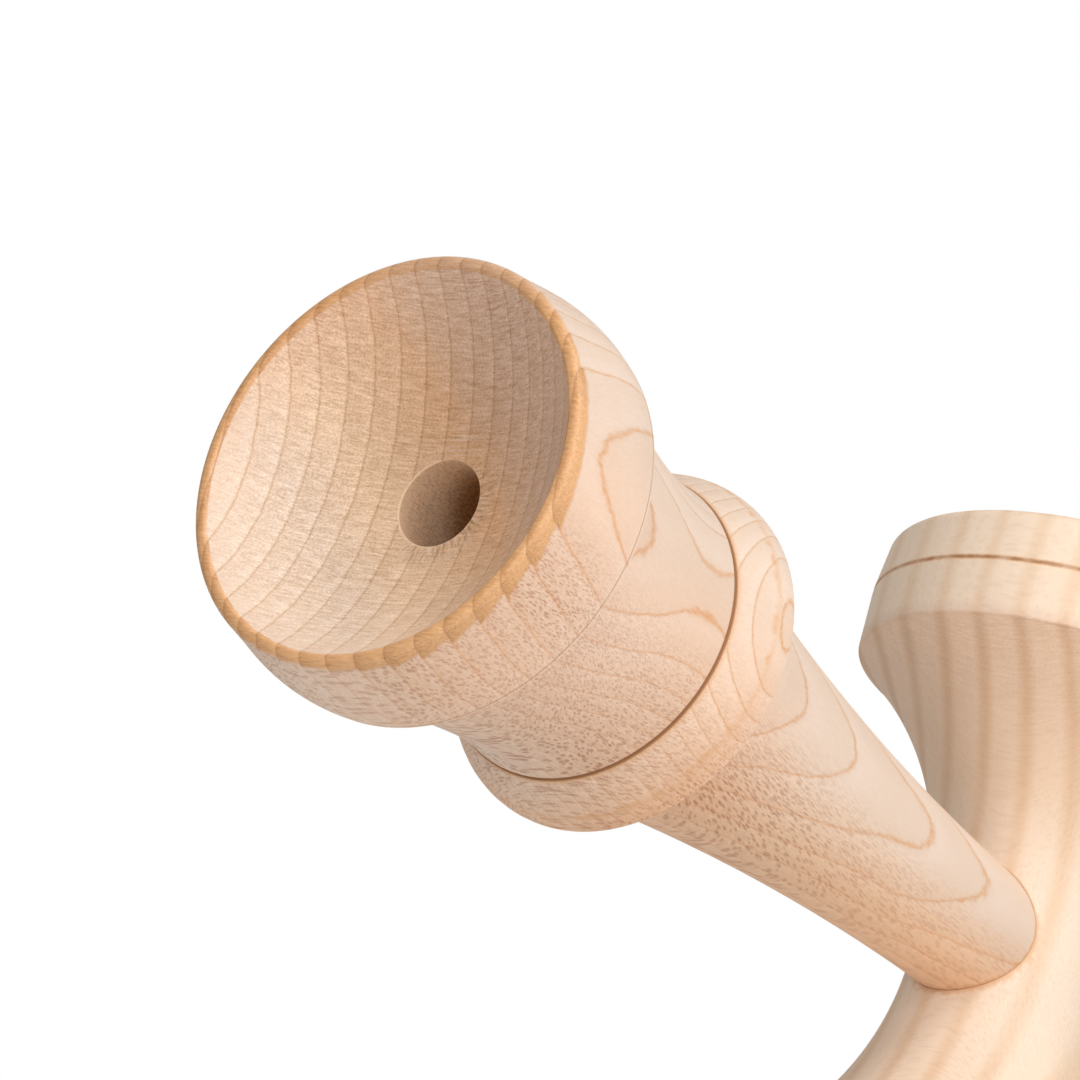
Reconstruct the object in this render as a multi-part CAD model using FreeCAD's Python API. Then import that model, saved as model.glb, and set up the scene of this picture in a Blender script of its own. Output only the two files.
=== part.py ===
"""Kendama: a turned wooden handle with a cup in its foot, a two-cup cross-piece wedged on it, and a ball.

Millimetres. Z runs along the handle, from the rim of the base cup (height zero) to the spike.
X runs along the cross-piece, with its big cup towards -X. The string holes face -Y and +Z.
"""
import FreeCAD, Part
import math
import os

Vector = FreeCAD.Vector

# Base cup, in the foot of the handle
base_bowl_radius = 17.85        # at the inner edge of the rim
base_bowl_depth = 8.95          # from the plane of the rim
base_rim_bevel = 0.25           # between the bowl and the flat of the rim
base_rim_radius = 19.12         # outside of the rim, above its rounded edge
base_rim_round = 0.65           # rounded outer edge of the rim
base_wall_radius = 19.58        # where the plain wall starts to swell
base_wall_height = 4.0
base_belly = 0.42               # how far the wall swells past its straight line
base_back_radius = 19.5         # at the crisp back corner
base_height = 11.6              # of the whole cup, rim to back
base_back_ease = 0.4            # the back corner is just broken
spindle_hole_radius = 4.0       # drilled up the middle of the bowl
spindle_hole_height = 24.0      # where the drill stopped, above the rim plane
spindle_point_height = 2.3      # cone that the drill's point left

# Neck, burnt line, bead and grip of the handle
neck_foot_radius = 17.15
neck_middle_radius = 14.9       # where the straight part of the neck ends
neck_middle_height = 24.1
neck_top_radius = 14.45
neck_hollow = 0.28
burnt_line_height = 33.0
burnt_line_half_width = 0.25
burnt_line_depth = 0.25
bead_foot_radius = 14.6
bead_front_swell = 0.1
bead_crest_radius = 16.4        # edge between the bead's front and its rounded band
bead_crest_height = 36.9
bead_band_swell = 0.18
bead_back_radius = 16.6
bead_back_height = 39.2
bead_back_ease = 0.4
bead_heel_radius = 13.6         # foot of the bead's steep back
bead_heel_height = 40.3
grip_foot_radius = 12.55
grip_foot_height = 42.2
grip_foot_cove = 0.2            # hollow between the bead and the grip
grip_hollow = 1.09

# Tapered seat that the cross-piece wedges on, and the spike past it
seat_foot_radius = 6.5
seat_top_radius = 5.35
seat_overlap = 1.0              # the seat shows this far on both sides of the cross-piece
spike_end_radius = 1.95
spike_swell = 0.25
spike_tip_height = 160.7        # the whole handle
spike_tip_length = 1.8          # rounded end of the spike

# Cross-piece: its big cup is on -X, its small cup on +X
cross_height = 106.7            # of its axis above the rim plane
cross_waist_radius = 9.3
cross_waist_half_width = 2.0
cross_seat_clearance = 0.08     # radial, between the tapered bore and the seat
cross_rim_bevel = 0.35
cross_rim_round = 1.1
cross_shoulder_ease = 0.3
cross_line_half_width = 0.2     # burnt line round each cup
cross_line_depth = 0.25
big_side_length = 36.3          # from the handle's axis to the rim
big_band_width = 10.8           # from the rim to the shoulder
big_line_place = 5.24           # from the rim to the burnt line
big_rim_radius = 21.45
big_line_radius = 21.86
big_shoulder_radius = 21.72
big_bowl_radius = 19.8
big_bowl_depth = 10.4
small_side_length = 35.0
small_band_width = 10.2
small_line_place = 5.0
small_rim_radius = 20.2
small_line_radius = 20.6
small_shoulder_radius = 20.45
small_bowl_radius = 18.6
small_bowl_depth = 9.3

# Ball, with the hole that the spike goes in
ball_radius = 30.0
ball_mouth_radius = 12.5        # outer edge of the bevelled hole
ball_hole_radius = 11.25
ball_hole_depth = 44.0          # from the plane of the mouth to the flat bottom
ball_hole_fillet = 1.5
ball_seat_clearance = 0.3       # between the mouth's edge and the cross-piece

# Holes for the string
handle_string_hole_radius = 1.5
cross_string_hole_radius = 1.2
ball_string_hole_radius = 1.5
ball_string_hole_bevel = 0.5

# A quarter circle bulges this share of its radius past its chord
quarter_share = 1 - math.cos(math.pi / 4)
x_axis = Vector(1, 0, 0)
y_axis = Vector(0, 1, 0)
z_axis = Vector(0, 0, 1)

cross_seat_foot = cross_height - cross_waist_radius - seat_overlap
cross_seat_top = cross_height + cross_waist_radius + seat_overlap


class Outline:
    """One side of a turned shape, as lines and arcs between points (away from the axis, along it).

    A bulge is how far an arc stands off its chord: positive swells out of the wood, negative
    hollows it. The outline starts and ends on the axis and keeps the wood on its left.
    """

    def __init__(self, axis, away, along):
        self.axis = axis
        self.start = (away, along)
        self.end = self.start
        self.edges = []

    def place(self, point):
        away, along = point
        if self.axis == x_axis:
            return Vector(along, 0, away)
        return Vector(away, 0, along)

    def line_to(self, away, along):
        self.edges.append(Part.LineSegment(self.place(self.end), self.place((away, along))).toShape())
        self.end = (away, along)

    def arc_to(self, away, along, bulge):
        chord = math.hypot(away - self.end[0], along - self.end[1])
        middle_away = (away + self.end[0]) / 2 + bulge * (along - self.end[1]) / chord
        middle_along = (along + self.end[1]) / 2 - bulge * (away - self.end[0]) / chord
        ends = (self.place(self.end), self.place((middle_away, middle_along)), self.place((away, along)))
        self.edges.append(Part.Arc(*ends).toShape())
        self.end = (away, along)

    def turned(self):
        self.line_to(*self.start)
        face = Part.Face(Part.Wire(self.edges))
        return face.revolve(Vector(0, 0, 0), self.axis, 360)


def cap_sphere_radius(mouth_radius, depth):
    """Radius of the sphere that a cap or a bowl of this mouth and depth is part of."""
    return (mouth_radius ** 2 + depth ** 2) / (2 * depth)


def sphere_bulge(sphere_radius, chord):
    return sphere_radius - math.sqrt(sphere_radius ** 2 - (chord / 2) ** 2)


def seat_radius(height):
    """Radius of the handle's seat at a height. The cross-piece's bore follows the same taper."""
    way_up = (height - cross_seat_foot) / (cross_seat_top - cross_seat_foot)
    return seat_foot_radius + (seat_top_radius - seat_foot_radius) * way_up


def add_base_cup(outline):
    """From the drilled hole over the bowl and the rim to the back of the base cup."""
    sphere_radius = cap_sphere_radius(base_bowl_radius, base_bowl_depth - base_rim_bevel)
    hole_mouth_height = base_bowl_depth - sphere_radius + math.sqrt(sphere_radius ** 2 - spindle_hole_radius ** 2)
    chord = math.hypot(base_bowl_radius - spindle_hole_radius, hole_mouth_height - base_rim_bevel)
    outline.line_to(spindle_hole_radius, spindle_hole_height - spindle_point_height)
    outline.line_to(spindle_hole_radius, hole_mouth_height)
    outline.arc_to(base_bowl_radius, base_rim_bevel, -sphere_bulge(sphere_radius, chord))
    outline.line_to(base_bowl_radius + base_rim_bevel, 0)
    outline.line_to(base_rim_radius - base_rim_round, 0)
    outline.arc_to(base_rim_radius, base_rim_round, base_rim_round * quarter_share)
    outline.line_to(base_wall_radius, base_wall_height)
    outline.arc_to(base_back_radius, base_height - base_back_ease, base_belly)
    outline.arc_to(base_back_radius - base_back_ease, base_height, base_back_ease * quarter_share)


def add_neck_and_grip(outline):
    """From the back of the base cup over the burnt line and the bead to the end of the grip."""
    outline.line_to(neck_foot_radius, base_height)
    outline.line_to(neck_middle_radius, neck_middle_height)
    outline.arc_to(neck_top_radius, burnt_line_height - burnt_line_half_width, -neck_hollow)
    outline.line_to(neck_top_radius - burnt_line_depth, burnt_line_height)
    outline.line_to(bead_foot_radius, burnt_line_height + burnt_line_half_width)
    outline.arc_to(bead_crest_radius, bead_crest_height, bead_front_swell)
    outline.arc_to(bead_back_radius, bead_back_height, bead_band_swell)
    outline.line_to(bead_back_radius - bead_back_ease, bead_back_height + bead_back_ease)
    outline.line_to(bead_heel_radius, bead_heel_height)
    outline.arc_to(grip_foot_radius, grip_foot_height, -grip_foot_cove)
    outline.arc_to(seat_foot_radius, cross_seat_foot, -grip_hollow)


def make_ken():
    """The handle, turned from one piece."""
    outline = Outline(z_axis, 0, spindle_hole_height)
    add_base_cup(outline)
    add_neck_and_grip(outline)
    outline.line_to(seat_top_radius, cross_seat_top)
    outline.arc_to(spike_end_radius, spike_tip_height - spike_tip_length, spike_swell)
    tip_radius = cap_sphere_radius(spike_end_radius, spike_tip_length)
    outline.arc_to(0, spike_tip_height, sphere_bulge(tip_radius, math.hypot(spike_end_radius, spike_tip_length)))
    hole_start = Vector(0, -seat_foot_radius, cross_height)
    string_hole = Part.makeCylinder(handle_string_hole_radius, 2 * seat_foot_radius, hole_start, y_axis)
    return outline.turned().cut(string_hole)


def cup_steps(side_length, band_width, line_place, rim_radius, line_radius, shoulder_radius,
              bowl_radius, bowl_depth):
    """One side of the cross-piece, as (away, along, bulge of the next stretch), from bowl to waist."""
    sphere_radius = cap_sphere_radius(bowl_radius, bowl_depth - cross_rim_bevel)
    bowl_chord = math.hypot(bowl_radius, bowl_depth - cross_rim_bevel)
    shoulder_place = side_length - band_width
    line_middle = side_length - line_place
    flank_rise = shoulder_radius - cross_shoulder_ease - cross_waist_radius
    flank_run = shoulder_place - cross_waist_half_width
    flank_chord = math.hypot(flank_rise, flank_run)
    flank_radius = flank_chord ** 2 / (2 * flank_rise)
    return [
        (0, side_length - bowl_depth, -sphere_bulge(sphere_radius, bowl_chord)),
        (bowl_radius, side_length - cross_rim_bevel, 0),
        (bowl_radius + cross_rim_bevel, side_length, 0),
        (rim_radius - cross_rim_round, side_length, cross_rim_round * quarter_share),
        (rim_radius, side_length - cross_rim_round, 0),
        (line_radius, line_middle + cross_line_half_width, 0),
        (line_radius - cross_line_depth, line_middle, 0),
        (line_radius, line_middle - cross_line_half_width, 0),
        (shoulder_radius, shoulder_place + cross_shoulder_ease, cross_shoulder_ease * quarter_share),
        (shoulder_radius - cross_shoulder_ease, shoulder_place, -sphere_bulge(flank_radius, flank_chord)),
        (cross_waist_radius, cross_waist_half_width, 0),
    ]


def big_cup_steps():
    return cup_steps(big_side_length, big_band_width, big_line_place, big_rim_radius, big_line_radius,
                     big_shoulder_radius, big_bowl_radius, big_bowl_depth)


def small_cup_steps():
    return cup_steps(small_side_length, small_band_width, small_line_place, small_rim_radius,
                     small_line_radius, small_shoulder_radius, small_bowl_radius, small_bowl_depth)


def follow(outline, away, along, bulge):
    if bulge:
        outline.arc_to(away, along, bulge)
    else:
        outline.line_to(away, along)


def make_sarado():
    """The cross-piece, turned from one piece, with the tapered bore that the handle goes through."""
    big_side = big_cup_steps()
    small_side = small_cup_steps()
    outline = Outline(x_axis, 0, -big_side[0][1])
    for before, after in zip(big_side, big_side[1:]):
        follow(outline, after[0], -after[1], before[2])
    outline.line_to(cross_waist_radius, cross_waist_half_width)
    for before, after in zip(reversed(small_side), reversed(small_side[:-1])):
        follow(outline, after[0], after[1], after[2])
    turned = outline.turned()
    turned.translate(Vector(0, 0, cross_height))
    return turned.cut(seat_bore()).cut(cross_string_hole())


def seat_bore():
    """The tapered bore, long enough to pass right through the cross-piece."""
    bottom = cross_height - big_shoulder_radius
    top = cross_height + big_shoulder_radius
    bottom_radius = seat_radius(bottom) + cross_seat_clearance
    top_radius = seat_radius(top) + cross_seat_clearance
    return Part.makeCone(bottom_radius, top_radius, top - bottom, Vector(0, 0, bottom), z_axis)


def cross_string_hole():
    """The hole in the -Y side of the waist, from the bore outwards."""
    hole_start = Vector(0, 0, cross_height)
    return Part.makeCylinder(cross_string_hole_radius, big_shoulder_radius, hole_start, -y_axis)


def flank_height(steps, along):
    """How far the concave back of a cup stands off the cross-piece's axis, at a place along it."""
    shoulder_away, shoulder_along, bulge = steps[-2]
    rise = shoulder_away - cross_waist_radius
    run = shoulder_along - cross_waist_half_width
    flank_radius = (rise ** 2 + run ** 2) / (2 * rise)
    past_waist = max(0, along - cross_waist_half_width)
    return cross_waist_radius + flank_radius - math.sqrt(flank_radius ** 2 - past_waist ** 2)


def make_tama():
    """The ball, seated on the backs of both cups with the spike up its hole."""
    flank = max(flank_height(steps, ball_mouth_radius) for steps in (big_cup_steps(), small_cup_steps()))
    mouth_height = cross_height + flank + ball_seat_clearance
    middle = mouth_height + math.sqrt(ball_radius ** 2 - ball_mouth_radius ** 2)
    bottom = mouth_height + ball_hole_depth
    bevel_outer = ball_string_hole_radius + ball_string_hole_bevel
    top = middle + math.sqrt(ball_radius ** 2 - bevel_outer ** 2)
    ball = Part.makeSphere(ball_radius, Vector(0, 0, middle))
    bevel = ball_mouth_radius - ball_hole_radius
    hole = Outline(z_axis, 0, mouth_height - ball_hole_depth)
    hole.line_to(ball_mouth_radius, mouth_height - ball_hole_depth)
    hole.line_to(ball_mouth_radius, mouth_height)
    hole.line_to(ball_hole_radius, mouth_height + bevel)
    hole.line_to(ball_hole_radius, bottom - ball_hole_fillet)
    hole.arc_to(ball_hole_radius - ball_hole_fillet, bottom, ball_hole_fillet * quarter_share)
    hole.line_to(ball_string_hole_radius, bottom)
    hole.line_to(ball_string_hole_radius, top - ball_string_hole_bevel)
    hole.line_to(bevel_outer, top)
    hole.line_to(bevel_outer, middle + ball_radius)
    hole.line_to(0, middle + ball_radius)
    return ball.cut(hole.turned())


os.makedirs("parts", exist_ok=True)
for name, shape in (("ken", make_ken()), ("sarado", make_sarado()), ("tama", make_tama())):
    shape.exportStep("parts/" + name + ".step")
    print(name, "solids", len(shape.Solids), "valid", shape.isValid(), "volume", round(shape.Volume))
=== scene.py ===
"""Kendama in plain turned wood: a handle with a cup in its foot, a cross-piece with two cups, and a ball.

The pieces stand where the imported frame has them, in metres: Z runs up the handle from the base cup's rim,
and X runs along the cross-piece, whose big cup is on -X. Sizes are written in millimetres times MM.
"""
import math

import bmesh
import bpy
from bpy.props import FloatProperty, FloatVectorProperty, IntProperty, PointerProperty
from mathutils import Matrix, Vector


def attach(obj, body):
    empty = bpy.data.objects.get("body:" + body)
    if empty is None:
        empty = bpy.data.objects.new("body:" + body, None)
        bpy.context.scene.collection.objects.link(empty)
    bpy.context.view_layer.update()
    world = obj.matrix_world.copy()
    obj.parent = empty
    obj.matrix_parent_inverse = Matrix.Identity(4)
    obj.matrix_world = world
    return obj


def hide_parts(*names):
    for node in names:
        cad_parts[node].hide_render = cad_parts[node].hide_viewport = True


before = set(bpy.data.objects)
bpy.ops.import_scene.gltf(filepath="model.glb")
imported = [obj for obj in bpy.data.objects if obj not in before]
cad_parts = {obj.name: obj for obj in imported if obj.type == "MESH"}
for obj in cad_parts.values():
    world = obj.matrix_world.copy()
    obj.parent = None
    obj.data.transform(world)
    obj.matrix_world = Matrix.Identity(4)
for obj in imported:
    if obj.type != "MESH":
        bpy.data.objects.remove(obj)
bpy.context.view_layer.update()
MM = 0.001

bl_info = {
    "name": "Kendama Builder",
    "version": (1, 0, 0),
    "blender": (4, 5, 0),
    "location": "View3D > Sidebar > Kendama",
    "description": "Turns the handle, cross-piece and ball of a wooden kendama and sets up its studio",
    "category": "Object",
}


def length(name, millimetres, description):
    """A length that a user can change, given in millimetres and kept in metres."""
    return FloatProperty(name=name, description=description, default=millimetres * MM, unit="LENGTH",
                         precision=5)


def direction(name, value, description):
    return FloatVectorProperty(name=name, description=description, default=value, subtype="DIRECTION")


def power(name, watts, description):
    return FloatProperty(name=name, description=description, default=watts, unit="POWER")


def colour(name, value, description):
    return FloatVectorProperty(name=name, description=description, default=value, size=3, min=0.0, max=1.0,
                               subtype="COLOR")


class KendamaHandle(bpy.types.PropertyGroup):
    """Sizes of the turned handle"""
    bowl_radius: length("Bowl radius", 17.85, "Radius of the base cup's bowl at the inner edge of its rim")
    bowl_depth: length("Bowl depth", 8.95, "Depth of the bowl below the plane of the rim")
    rim_bevel: length("Rim bevel", 0.25, "Bevel between the bowl and the flat of the rim")
    rim_radius: length("Rim radius", 19.12, "Outside of the rim above its rounded edge")
    rim_round: length("Rim rounding", 0.65, "Rounded outer edge of the rim")
    wall_radius: length("Wall radius", 19.58, "Radius where the base cup's wall starts to swell")
    wall_height: length("Wall height", 4.0, "Height where the wall starts to swell")
    belly: length("Belly", 0.42, "How far the wall swells past its straight line")
    back_radius: length("Back radius", 19.5, "Radius of the base cup at its crisp back corner")
    height: length("Base cup height", 11.6, "From the plane of the rim to the back of the base cup")
    back_ease: length("Back ease", 0.4, "How far the back corner is broken")
    hole_radius: length("Spindle hole radius", 4.0, "Radius of the hole drilled up the middle of the bowl")
    hole_height: length("Spindle hole height", 24.0, "Where the drill stopped, above the plane of the rim")
    hole_point: length("Drill point", 2.3, "Height of the cone that the drill's point left")
    neck_foot_radius: length("Neck foot radius", 17.15, "Radius of the neck at the back of the base cup")
    neck_middle_radius: length("Neck middle radius", 14.9, "Radius where the straight part of the neck ends")
    neck_middle_height: length("Neck middle height", 24.1, "Height where the straight part of the neck ends")
    neck_top_radius: length("Neck top radius", 14.45, "Radius of the neck at the burnt line")
    neck_hollow: length("Neck hollow", 0.28, "How far the upper neck curves in from its straight line")
    line_height: length("Burnt line height", 33.0, "Height of the burnt line above the plane of the rim")
    line_half_width: length("Burnt line half width", 0.2, "Half the width of the groove of the burnt line")
    line_depth: length("Burnt line depth", 0.15, "Depth of the groove of the burnt line")
    bead_foot_radius: length("Bead foot radius", 14.6, "Radius of the bead at the burnt line")
    bead_front_swell: length("Bead front swell", 0.1, "Swell of the bead between the line and the crest")
    bead_crest_radius: length("Bead crest radius", 16.4, "Edge between the bead's front and its rounded band")
    bead_crest_height: length("Bead crest height", 36.9, "Height of that edge")
    bead_band_swell: length("Bead band swell", 0.18, "Swell of the bead's rounded band")
    bead_back_radius: length("Bead back radius", 16.6, "Radius at the back of the band")
    bead_back_height: length("Bead back height", 39.2, "Height of the back of the band")
    bead_back_ease: length("Bead back ease", 0.4, "How far the bead's back corner is broken")
    bead_heel_radius: length("Bead heel radius", 13.6, "Radius at the foot of the bead's steep back")
    bead_heel_height: length("Bead heel height", 40.3, "Height of the foot of the bead's steep back")
    grip_foot_radius: length("Grip foot radius", 12.55, "Radius of the grip where the cove ends")
    grip_foot_height: length("Grip foot height", 42.2, "Height where the cove ends")
    grip_foot_cove: length("Grip cove", 0.2, "Hollow between the bead and the grip")
    grip_hollow: length("Grip hollow", 1.09, "How far the grip curves in from its straight line")
    seat_foot_radius: length("Seat foot radius", 6.5, "Radius of the tapered seat at its lower end")
    seat_top_radius: length("Seat top radius", 5.35, "Radius of the tapered seat at its upper end")
    seat_overlap: length("Seat overlap", 1.0, "How far the seat shows on both sides of the cross-piece")
    spike_end_radius: length("Spike end radius", 1.95, "Radius of the spike where its tip starts")
    spike_swell: length("Spike swell", 0.25, "How far the spike swells past its straight line")
    spike_tip_height: length("Handle length", 160.7, "Height of the spike's tip")
    spike_tip_length: length("Spike tip length", 1.8, "Length of the rounded tip")
    string_hole_radius: length("String hole radius", 1.5, "Radius of the hole through the seat")


class KendamaCup(bpy.types.PropertyGroup):
    """Sizes of one side of the cross-piece"""
    side_length: length("Side length", 36.3, "From the handle's axis to the rim")
    band_width: length("Band width", 10.8, "From the rim to the shoulder")
    line_place: length("Line place", 5.24, "From the rim to the burnt line")
    rim_radius: length("Rim radius", 21.45, "Outer radius of the rim")
    line_radius: length("Line radius", 21.86, "Outer radius at the burnt line")
    shoulder_radius: length("Shoulder radius", 21.72, "Outer radius at the shoulder")
    bowl_radius: length("Bowl radius", 19.8, "Radius of the bowl at the inner edge of the rim")
    bowl_depth: length("Bowl depth", 10.4, "Depth of the bowl")


class KendamaCross(bpy.types.PropertyGroup):
    """Sizes that both sides of the cross-piece share"""
    height: length("Cross height", 106.7, "Height of the cross-piece's axis above the plane of the rim")
    waist_radius: length("Waist radius", 9.3, "Radius of the waist")
    waist_half_width: length("Waist half width", 2.0, "Half the length of the straight waist")
    seat_clearance: length("Seat clearance", 0.03, "Gap between the tapered bore and the handle's seat")
    rim_bevel: length("Rim bevel", 0.35, "Bevel between a bowl and the flat of its rim")
    rim_round: length("Rim rounding", 1.1, "Rounded outer edge of both rims")
    shoulder_ease: length("Shoulder ease", 0.3, "How far the shoulders are broken")
    line_half_width: length("Line half width", 0.2, "Half the width of the burnt lines")
    line_depth: length("Line depth", 0.07, "Depth of the burnt lines")
    string_hole_radius: length("String hole radius", 1.2, "Radius of the string hole in the waist")


class KendamaBall(bpy.types.PropertyGroup):
    """Sizes of the ball"""
    radius: length("Ball radius", 29.98, "Radius of the ball")
    mouth_radius: length("Mouth radius", 12.5, "Outer edge of the bevelled hole")
    hole_radius: length("Hole radius", 11.25, "Radius of the spike hole")
    hole_depth: length("Hole depth", 44.0, "From the plane of the mouth to the bottom")
    hole_fillet: length("Hole fillet", 1.5, "Rounding at the bottom of the hole")
    seat_clearance: length("Seat clearance", 0.3, "Gap between the mouth's edge and the cross-piece")
    string_hole_radius: length("String hole radius", 1.5, "Radius of the string hole at the top")
    string_hole_bevel: length("String hole bevel", 0.5, "Bevel round the string hole")


class KendamaWood(bpy.types.PropertyGroup):
    """Colours of the bare wood, and a painted lit colour for the drilled hole's wall"""
    cream: colour("Cream", (0.82, 0.655, 0.535), "Early wood, the palest part of each year's ring")
    tan: colour("Tan", (0.68, 0.44, 0.26), "Late wood on the long grain")
    line: colour("Ring line", (0.72, 0.38, 0.17), "Ring lines on the long grain")
    end_cream: colour("End grain", (0.80, 0.60, 0.45), "Early wood where the end grain shows")
    end_tan: colour("End grain tan", (0.60, 0.405, 0.27), "Late wood where the end grain shows")
    end_line: colour("End grain line", (0.44, 0.24, 0.12), "Ring lines where the end grain shows")
    fleck: colour("Ray fleck", (0.47, 0.22, 0.13), "Rays that show as dashes and flecks")
    burnish: colour("Burnish", (0.71, 0.37, 0.155), "Rims darkened by the friction of sanding")
    deep_burnish: colour("Deep burnish", (0.62, 0.27, 0.08), "The hottest parts of the burnished rims")
    # Painted light: the colour of the hole's wall where it is painted lit
    bore: colour("Bore", (1.0, 0.73, 0.50), "The rough wall of the drilled hole where light reaches it")
    scorch: colour("Scorch", (0.29, 0.11, 0.03), "Lines burnt in with a wire")


class KendamaStudio(bpy.types.PropertyGroup):
    """Camera, lamps and floor"""
    camera_place: FloatVectorProperty(name="Camera place", description="Where the camera stands",
                                      default=(0.27596, -0.50512, -0.60291), subtype="XYZ", unit="LENGTH")
    camera_right: direction("Camera right", (-0.27642, -0.80439, 0.52588), "The picture's right side")
    camera_up: direction("Camera up", (-0.90330, 0.03065, -0.42791), "The picture's upper side")
    lens: FloatProperty(name="Lens", description="Focal length", default=333.33, subtype="DISTANCE_CAMERA")
    key_power: power("Key power", 4.8, "Power of the main soft lamp")
    side_power: power("Side power", 5.6, "Power of the lamp at -X")
    low_power: power("Low power", 3.7, "Power of the lamp below")
    right_power: power("Right power", 2.8, "Power of the lamp at +X")
    top_power: power("Top power", 9.0, "Power of the overhead lamp")
    back_power: power("Back power", 2.0, "Power of the rear fill")
    ambient: FloatProperty(name="Ambient", description="Strength of the white surroundings as light",
                           default=0.4, min=0.0)


class KendamaSettings(bpy.types.PropertyGroup):
    """All settings of the kendama"""
    around: IntProperty(name="Steps around", description="Facets round each turned piece", default=192,
                        min=32)
    step: length("Outline step", 0.7, "Longest straight step along a curved outline")
    handle: PointerProperty(type=KendamaHandle)
    cross: PointerProperty(type=KendamaCross)
    big_cup: PointerProperty(type=KendamaCup)
    small_cup: PointerProperty(type=KendamaCup)
    ball: PointerProperty(type=KendamaBall)
    wood: PointerProperty(type=KendamaWood)
    studio: PointerProperty(type=KendamaStudio)


# The small cup differs from the big one in these sizes, in millimetres. Its length and the ball's radius are
# a hair short, so that the meshes stay inside the solids' box
SMALL_CUP = {"side_length": 34.999, "band_width": 10.2, "line_place": 5.0, "rim_radius": 20.2,
             "line_radius": 20.6, "shoulder_radius": 20.45, "bowl_radius": 18.6, "bowl_depth": 9.3}
# A quarter circle bulges this share of its radius past its chord
QUARTER_SHARE = 1 - math.cos(math.pi / 4)
# How far corners are cut back where they are eased
CORNER_EASE = 0.12 * MM
BALL_CORNER_EASE = 0.2 * MM
# Corners blunter than this aren't eased, and arcs are stepped no coarser than the second angle
SHARPEST_LEFT = math.radians(20)
COARSEST_STEP = math.radians(9)
# Edges sharper than this stay crisp in the shading
CRISP_EDGE = math.radians(38)
MERGE_DISTANCE = 0.001 * MM
STRING_HOLE_FACETS = 48
UP = (0, 0, 1)


def sphere_bulge(radius, chord):
    return radius - math.sqrt(radius ** 2 - (chord / 2) ** 2)


def cap_sphere_radius(mouth_radius, depth):
    """Radius of the sphere that a cap or a bowl of this mouth and depth is part of."""
    return (mouth_radius ** 2 + depth ** 2) / (2 * depth)


class Outline:
    """One side of a turned piece, as points (away from the axis, along it). A positive bulge swells out."""

    def __init__(self, away, along, step):
        self.points = [(away, along)]
        self.step = step

    def line_to(self, away, along):
        self.arc_to(away, along, 0)

    def arc_to(self, away, along, bulge):
        start = Vector(self.points[-1])
        end = Vector((away, along))
        chord = end - start
        count = max(1, math.ceil(chord.length / self.step))
        if not bulge:
            self.points += [tuple(start.lerp(end, i / count)) for i in range(1, count + 1)]
            return
        side = Vector((chord.y, -chord.x)).normalized()
        radius = ((chord.length / 2) ** 2 + bulge ** 2) / (2 * bulge)
        centre = start + chord / 2 + side * (bulge - radius)
        half_angle = 2 * math.atan(2 * bulge / chord.length)
        count = max(count, math.ceil(2 * abs(half_angle) / COARSEST_STEP))
        for i in range(1, count + 1):
            turn = Matrix.Rotation(2 * half_angle * i / count, 2)
            self.points.append(tuple(centre + turn @ (start - centre)))

    def eased(self, reach):
        """The same points with each sharp corner cut back and rounded a little."""
        points = [Vector(p) for p in self.points]
        result = [points[0]]
        for before, corner, after in zip(points, points[1:], points[2:]):
            into = before - corner
            out = after - corner
            if into.angle(-out, 0) < SHARPEST_LEFT:
                result.append(corner)
                continue
            first = corner + into.normalized() * min(reach, into.length * 0.3)
            last = corner + out.normalized() * min(reach, out.length * 0.3)
            middle = first.lerp(corner, 0.5).lerp(corner.lerp(last, 0.5), 0.5)
            result += [first.lerp(corner, -0.5), first, middle, last, last.lerp(corner, -0.5)]
        return result + [points[-1]]


def turned_piece(name, points, axis, centre, around):
    """Spins an outline a quarter of the way round an axis and mirrors it into a closed mesh object."""
    bm = bmesh.new()
    along = Vector(axis)
    away = Vector(UP) if along.x else Vector((1, 0, 0))
    verts = [bm.verts.new(away * p[0] + along * p[1]) for p in points]
    edges = [bm.edges.new(pair) for pair in zip(verts, verts[1:])]
    bmesh.ops.spin(bm, geom=verts + edges, axis=along, angle=math.pi / 2, steps=around // 4)
    for side in ("YZ" if along.x else "XY"):
        geometry = bm.verts[:] + bm.edges[:] + bm.faces[:]
        bmesh.ops.mirror(bm, geom=geometry, axis=side, merge_dist=MERGE_DISTANCE)
    bmesh.ops.remove_doubles(bm, verts=bm.verts, dist=MERGE_DISTANCE)
    bmesh.ops.recalc_face_normals(bm, faces=bm.faces)
    bmesh.ops.translate(bm, verts=bm.verts, vec=centre)
    mesh = bpy.data.meshes.new(name)
    bm.to_mesh(mesh)
    bm.free()
    piece = bpy.data.objects.new(name, mesh)
    bpy.context.scene.collection.objects.link(piece)
    return piece


def cone_cutter(low, high, low_radius, high_radius, around):
    """A round cutting tool between two points."""
    bm = bmesh.new()
    direction = high - low
    place = Matrix.Translation((low + high) / 2) @ direction.to_track_quat("Z", "Y").to_matrix().to_4x4()
    bmesh.ops.create_cone(bm, cap_ends=True, segments=around, radius1=low_radius, radius2=high_radius,
                          depth=direction.length, matrix=place)
    mesh = bpy.data.meshes.new("cutter")
    bm.to_mesh(mesh)
    bm.free()
    cutter = bpy.data.objects.new("cutter", mesh)
    bpy.context.scene.collection.objects.link(cutter)
    return cutter


def cut_away(piece, cutter):
    """Takes the cutter's shape out of the piece and removes the cutter."""
    modifier = piece.modifiers.new("Cut", "BOOLEAN")
    modifier.operation = "DIFFERENCE"
    modifier.solver = "MANIFOLD"
    modifier.object = cutter
    graph = bpy.context.evaluated_depsgraph_get()
    mesh = bpy.data.meshes.new_from_object(piece.evaluated_get(graph))
    piece.modifiers.clear()
    old = piece.data
    piece.data = mesh
    mesh.name = piece.name
    bpy.data.meshes.remove(old)
    bpy.data.objects.remove(cutter)


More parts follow.
